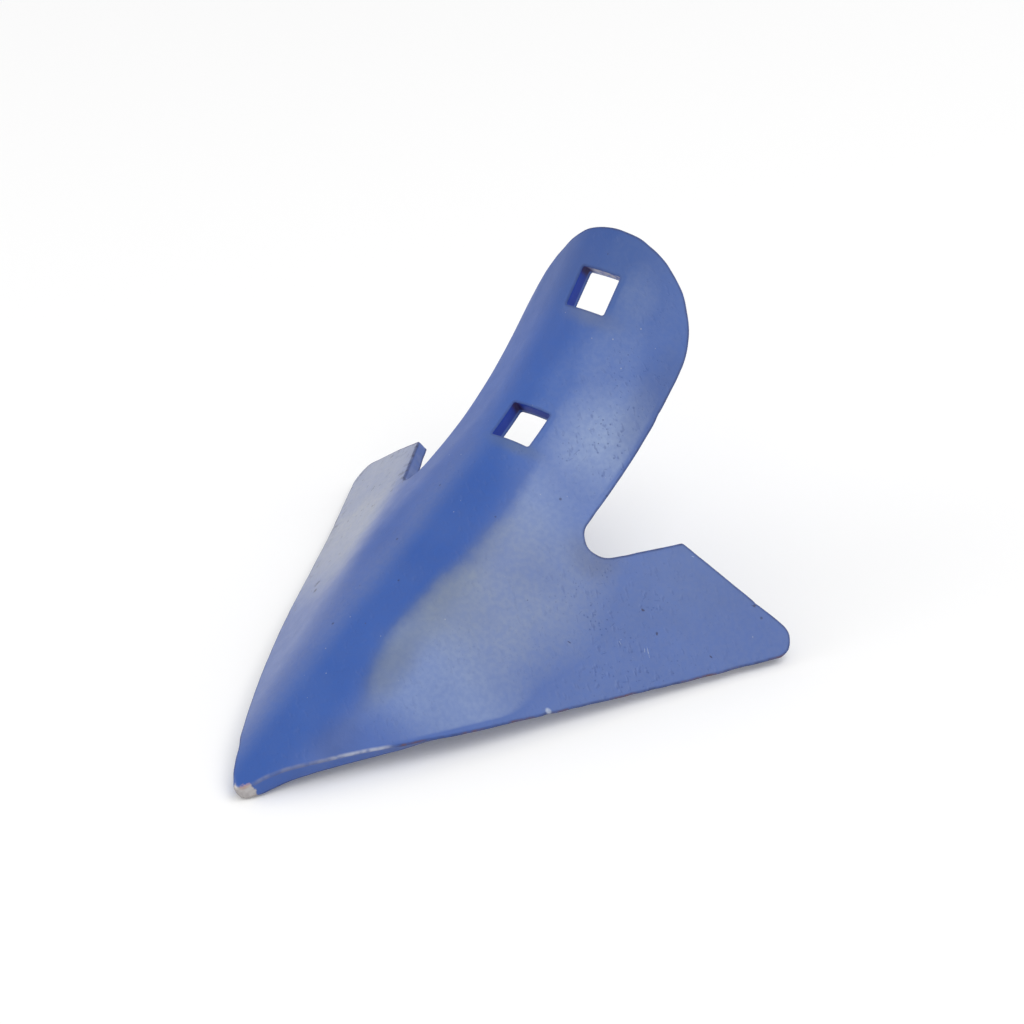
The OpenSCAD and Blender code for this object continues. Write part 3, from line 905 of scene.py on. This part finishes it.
# %% Thin paint along the arrises
edge_noise = mask(clouds, Size=2.2, Level=0.5, Soft=0.2, Detail=4.0)
broken = mask(clouds, Size=2.6, Level=0.48, Soft=0.14, Detail=4.0)
by_hole = most(*(zone(0, centre, 10, 10, 0.2) for centre in hole_places))
rubbed_run = times(ramp(at_w, 1.0, 3.0), ramp(at_s, 35.5, 31.0))
thin_line = times(ramp(arris_far, 0.95, 0.25), linear(edge_noise, 0.5, 0.5))
thin_line = times(thin_line, linear(by_hole, -0.5, 1.0), linear(times(rubbed_run, on_front), -0.8, 1.0))
colour = lay(times(thin_line, 0.7), colour, (0.03, 0.035, 0.10))
colour = lay(times(by_hole, on_cut, 0.9), colour, (0.0, 0.028, 0.32))
print("paint nodes after the thin lines:", len(paint.nodes))

# %% Painted shade and rust on the cut faces
cutting_edge = ramp(edge_gap, 9.0, 4.0)
# Painted shade: the cut faces along the cutting edges are darkened into a shadow line under the edge.
cut_face_shade = times(on_cut, cutting_edge, ramp(at_s, 28.0, 48.0), linear(edge_noise, 0.4, 0.6))
colour = lay(times(cut_face_shade, 0.75), colour, (0.05, 0.035, 0.06))
rust_runs = most(mask(clouds, Size=9.0, Level=0.55, Soft=0.06), zone(70.2, 86.0, 3.2, 3.2, 1.0))
rusty = times(ramp(arris_far, 0.7, 0.15), rust_runs, edge_noise, cutting_edge, ramp(at_s, 20.0, 36.0))
colour = lay(times(rusty, 0.8), colour, (0.17, 0.075, 0.05))
# Each hole wall turns dark maroon in its upper corner.
for centre in hole_places:
    corner = times(zone(-6.9, centre + 6.2, 2.4, 1.8, 1.0), on_cut)
    colour = lay(times(corner, 0.8), colour, (0.035, 0.012, 0.045))
print("paint nodes after the rust:", len(paint.nodes))

# %% [markdown]
# The nose has lost its paint and shows grey steel with a touch of rust, and a pale rubbed line follows the
# worn arris behind it. One chip on the cutting edge and the top wall of the upper hole are bare too. Paint
# and steel could be two materials, but one with masks wears through without a hard seam.

# %% Bare steel
nose_far = do("SQRT", do("ADD", do("POWER", do("SUBTRACT", at_w, 1.4), 2.0), do("POWER", at_s, 2.0)))
nose_far = linear(at_z, 0.25, linear(edge_noise, 1.0, nose_far))
nose_bare = times(ramp(nose_far, 4.3, 3.5), ramp(at_z, 0.0, -0.2))
arris_run = times(rubbed_run, ramp(arris_far, 1.1, 0.3), ramp(at_z, -1.3, -0.5))
rubbed_pale = times(arris_run, linear(broken, 0.6, 0.4), ramp(at_s, 14.0, 25.0, 0.5, 0.85))
colour = lay(rubbed_pale, colour, lay(ramp(at_s, 16.0, 26.0), (0.25, 0.26, 0.34), (0.42, 0.45, 0.56)))
chipped_wall = times(zone(2.0, hole_places[1] + 6.2, 6.5, 1.6, 0.6), on_cut, broken)
bare = most(nose_bare, times(chipped_wall, 0.8))
colour = lay(bare, colour, lay(edge_noise, (0.49, 0.465, 0.46), (0.36, 0.335, 0.335)))
nose_rust = times(stroke(1.9, 2.4, 0.85, 4.6, 1.3), linear(edge_noise, 0.5, 0.5))
colour = lay(times(nose_rust, 0.8), colour, (0.58, 0.35, 0.30))
chip = times(zone(55.7, 68.5, 0.9, 0.7, 0.8), linear(broken, 0.5, 0.5))
colour = lay(times(chip, 0.85), colour, (0.58, 0.64, 0.72))
paint.links.new(colour, surface.inputs["Base Color"])
paint.links.new(times(bare, 0.5), surface.inputs["Metallic"])
print("wear laid, paint nodes:", len(paint.nodes))

# %% [markdown]
# The gloss varies as the colour does: the pale veil of dust and painted sheen is dull, the clean band on the
# ridge is smoother, and the rubbed arrises and the walls of the holes are duller still. Orange peel, pits and
# scratches go into one height, which a Bump node turns into the normal.

# %% Gloss
satin, pale_dull, flank_dull, arris_dull, wall_dull = 0.36, 0.5, 0.09, 0.3, 0.25
gloss = linear(mottle, 0.05, satin)
gloss = linear(times(dust_and_sheen, ramp(fold, 4.0, -4.0)), pale_dull, gloss)
gloss = linear(flank, flank_dull, linear(ramp(arris_far, 1.0, 0.3), arris_dull, gloss))
gloss = linear(times(by_hole, on_cut, ramp(at_w, -3.0, -6.0)), wall_dull, gloss)
paint.links.new(gloss, surface.inputs["Roughness"])
surface.inputs["IOR"].default_value = 1.5
surface.inputs["Specular IOR Level"].default_value = 0.5
print("roughness starts at", satin)

# %% Fine relief
peel = {"Vector": scaled(paint, blank_at, 0.9), "Scale": 1.0, "Detail": 3.0}
height = times(add_node(paint, "ShaderNodeTexNoise", peel).outputs[0], 0.03)
for dent, deep in ((pits, 0.07), (flecks, 0.06), (most(rubbed, scored), 0.045), (bare, 0.05)):
    height = linear(dent, -deep, height)
relief = add_node(paint, "ShaderNodeBump", {"Height": height, "Distance": 0.001, "Strength": 1.0})
paint.links.new(relief.outputs[0], surface.inputs["Normal"])
print("all paint nodes:", len(paint.nodes))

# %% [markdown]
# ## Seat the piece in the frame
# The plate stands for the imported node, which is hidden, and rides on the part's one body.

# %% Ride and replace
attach(sweep_plate, "root")
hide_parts("sweep")
print("piece:", sweep_plate.name, "stands for sweep")

# %% [markdown]
# ## Floor, light and camera
# A pale floor keeps the shadow. One broad softbox hangs overhead to the right, and a second stands low at the
# left front, where it lights the far wing. The floor and the surround are lifted to white only for rays that
# show them, so the background is white without more light on the paint. In reflections the surround is white
# at the horizon and greyer overhead, as in a studio. The camera looks from the front right, a little above,
# through a long lens.

# %% Floor
reach = 6.0
floor_mesh = bpy.data.meshes.new("floor")
corners = [(-reach, -reach, 0), (reach, -reach, 0), (reach, reach, 0), (-reach, reach, 0)]
floor_mesh.from_pydata(corners, [], [(0, 1, 2, 3)])
floor = bpy.data.objects.new("floor", floor_mesh)
bpy.context.scene.collection.objects.link(floor)
print("floor reaches", reach, "m each way")

# %% Floor finish
near_lift, far_lift = 0.09, 0.45


def seen_rays(tree):
    """1 for rays that show a surface: from the camera, a reflection or glass."""
    rays = tree.nodes.new("ShaderNodeLightPath").outputs
    shown = calc(tree, "MAXIMUM", rays["Is Glossy Ray"], rays["Is Transmission Ray"])
    return calc(tree, "MAXIMUM", rays["Is Camera Ray"], shown)


pale = bpy.data.materials.new("pale_floor")
pale.use_nodes = True
card_tree = pale.node_tree
card = card_tree.nodes["Principled BSDF"]
card.inputs["Base Color"].default_value = (0.9, 0.9, 0.9, 1)
card.inputs["Roughness"].default_value = 0.9
card.inputs["Specular IOR Level"].default_value = 0.1
card.inputs["Emission Color"].default_value = (1, 1, 1, 1)
spot = card_tree.nodes.new("ShaderNodeTexCoord").outputs["Object"]
away = add_node(card_tree, "ShaderNodeVectorMath", {0: spot}, operation="LENGTH").outputs["Value"]
lift = fade(card_tree, away, 0.4, 3.0, near_lift, far_lift)
card_tree.links.new(calc(card_tree, "MULTIPLY", seen_rays(card_tree), lift), card.inputs["Emission Strength"])
floor_mesh.materials.append(pale)
print("floor lifted by", near_lift, "near the part and", far_lift, "far away")

# %% Softboxes
def softbox(name, direction, far, width, depth, radiance):
    """A rectangular area lamp that looks at the part, given by how bright its face is."""
    lamp = bpy.data.lights.new(name, "AREA")
    lamp.shape, lamp.size, lamp.size_y = "RECTANGLE", width, depth
    lamp.energy = radiance * math.pi * width * depth
    holder = bpy.data.objects.new(name, lamp)
    towards = Vector(direction).normalized()
    holder.location = towards * far + Vector((0, 0, 0.04))
    holder.rotation_euler = (-towards).to_track_quat("-Z", "Y").to_euler()
    bpy.context.scene.collection.objects.link(holder)
    print(name, "at", [round(x, 2) for x in holder.location])


softbox("softbox", (0.46, 0.08, 0.885), 2.2, 1.9, 1.7, 2.35)
softbox("side_softbox", (-0.75, -0.6, 0.3), 2.2, 1.4, 1.4, 2.2)

# %% White surround
fill, ceiling = 0.62, 0.37
world = bpy.data.worlds.new("surround")
bpy.context.scene.world = world
world.use_nodes = True
sky = world.node_tree
background = sky.nodes["Background"]
direction = sky.nodes.new("ShaderNodeTexCoord").outputs["Generated"]
skyward = add_node(sky, "ShaderNodeSeparateXYZ", {0: direction}).outputs["Z"]
to_camera = sky.nodes.new("ShaderNodeLightPath").outputs["Is Camera Ray"]
wall = calc(sky, "MAXIMUM", fade(sky, skyward, 0.02, 0.4, 1.0, ceiling), to_camera)
strength = calc(sky, "MULTIPLY_ADD", seen_rays(sky), calc(sky, "SUBTRACT", wall, fill), fill)
sky.links.new(strength, background.inputs["Strength"])
background.inputs["Color"].default_value = (1, 1, 1, 1)
print("fill light:", fill)

# %% Camera
lens = bpy.data.cameras.new("camera")
lens.lens, lens.sensor_width = 76.315, 36.0
lens.clip_start, lens.clip_end = 0.01, 50.0
eye = bpy.data.objects.new("camera", lens)
bpy.context.scene.collection.objects.link(eye)
aim, eye_far = Vector((0.006501, 0.02272, 0.0373365)), 0.618583
turn, rise, roll = (math.radians(x) for x in (38.896, 31.456, -1.3825))
behind = Vector((math.sin(turn) * math.cos(rise), -math.cos(turn) * math.cos(rise), math.sin(rise)))
level = (-behind).cross(Vector((0, 0, 1))).normalized()
over = level.cross(-behind)
sideways = level * math.cos(roll) + over * math.sin(roll)
upwards = over * math.cos(roll) - level * math.sin(roll)
facing = Matrix((sideways, upwards, behind)).transposed().to_4x4()
eye.matrix_world = Matrix.Translation(aim + behind * eye_far) @ facing
bpy.context.scene.camera = eye
bpy.context.scene.view_settings.view_transform = "Standard"
print("camera at", [round(x, 3) for x in eye.matrix_world.translation])
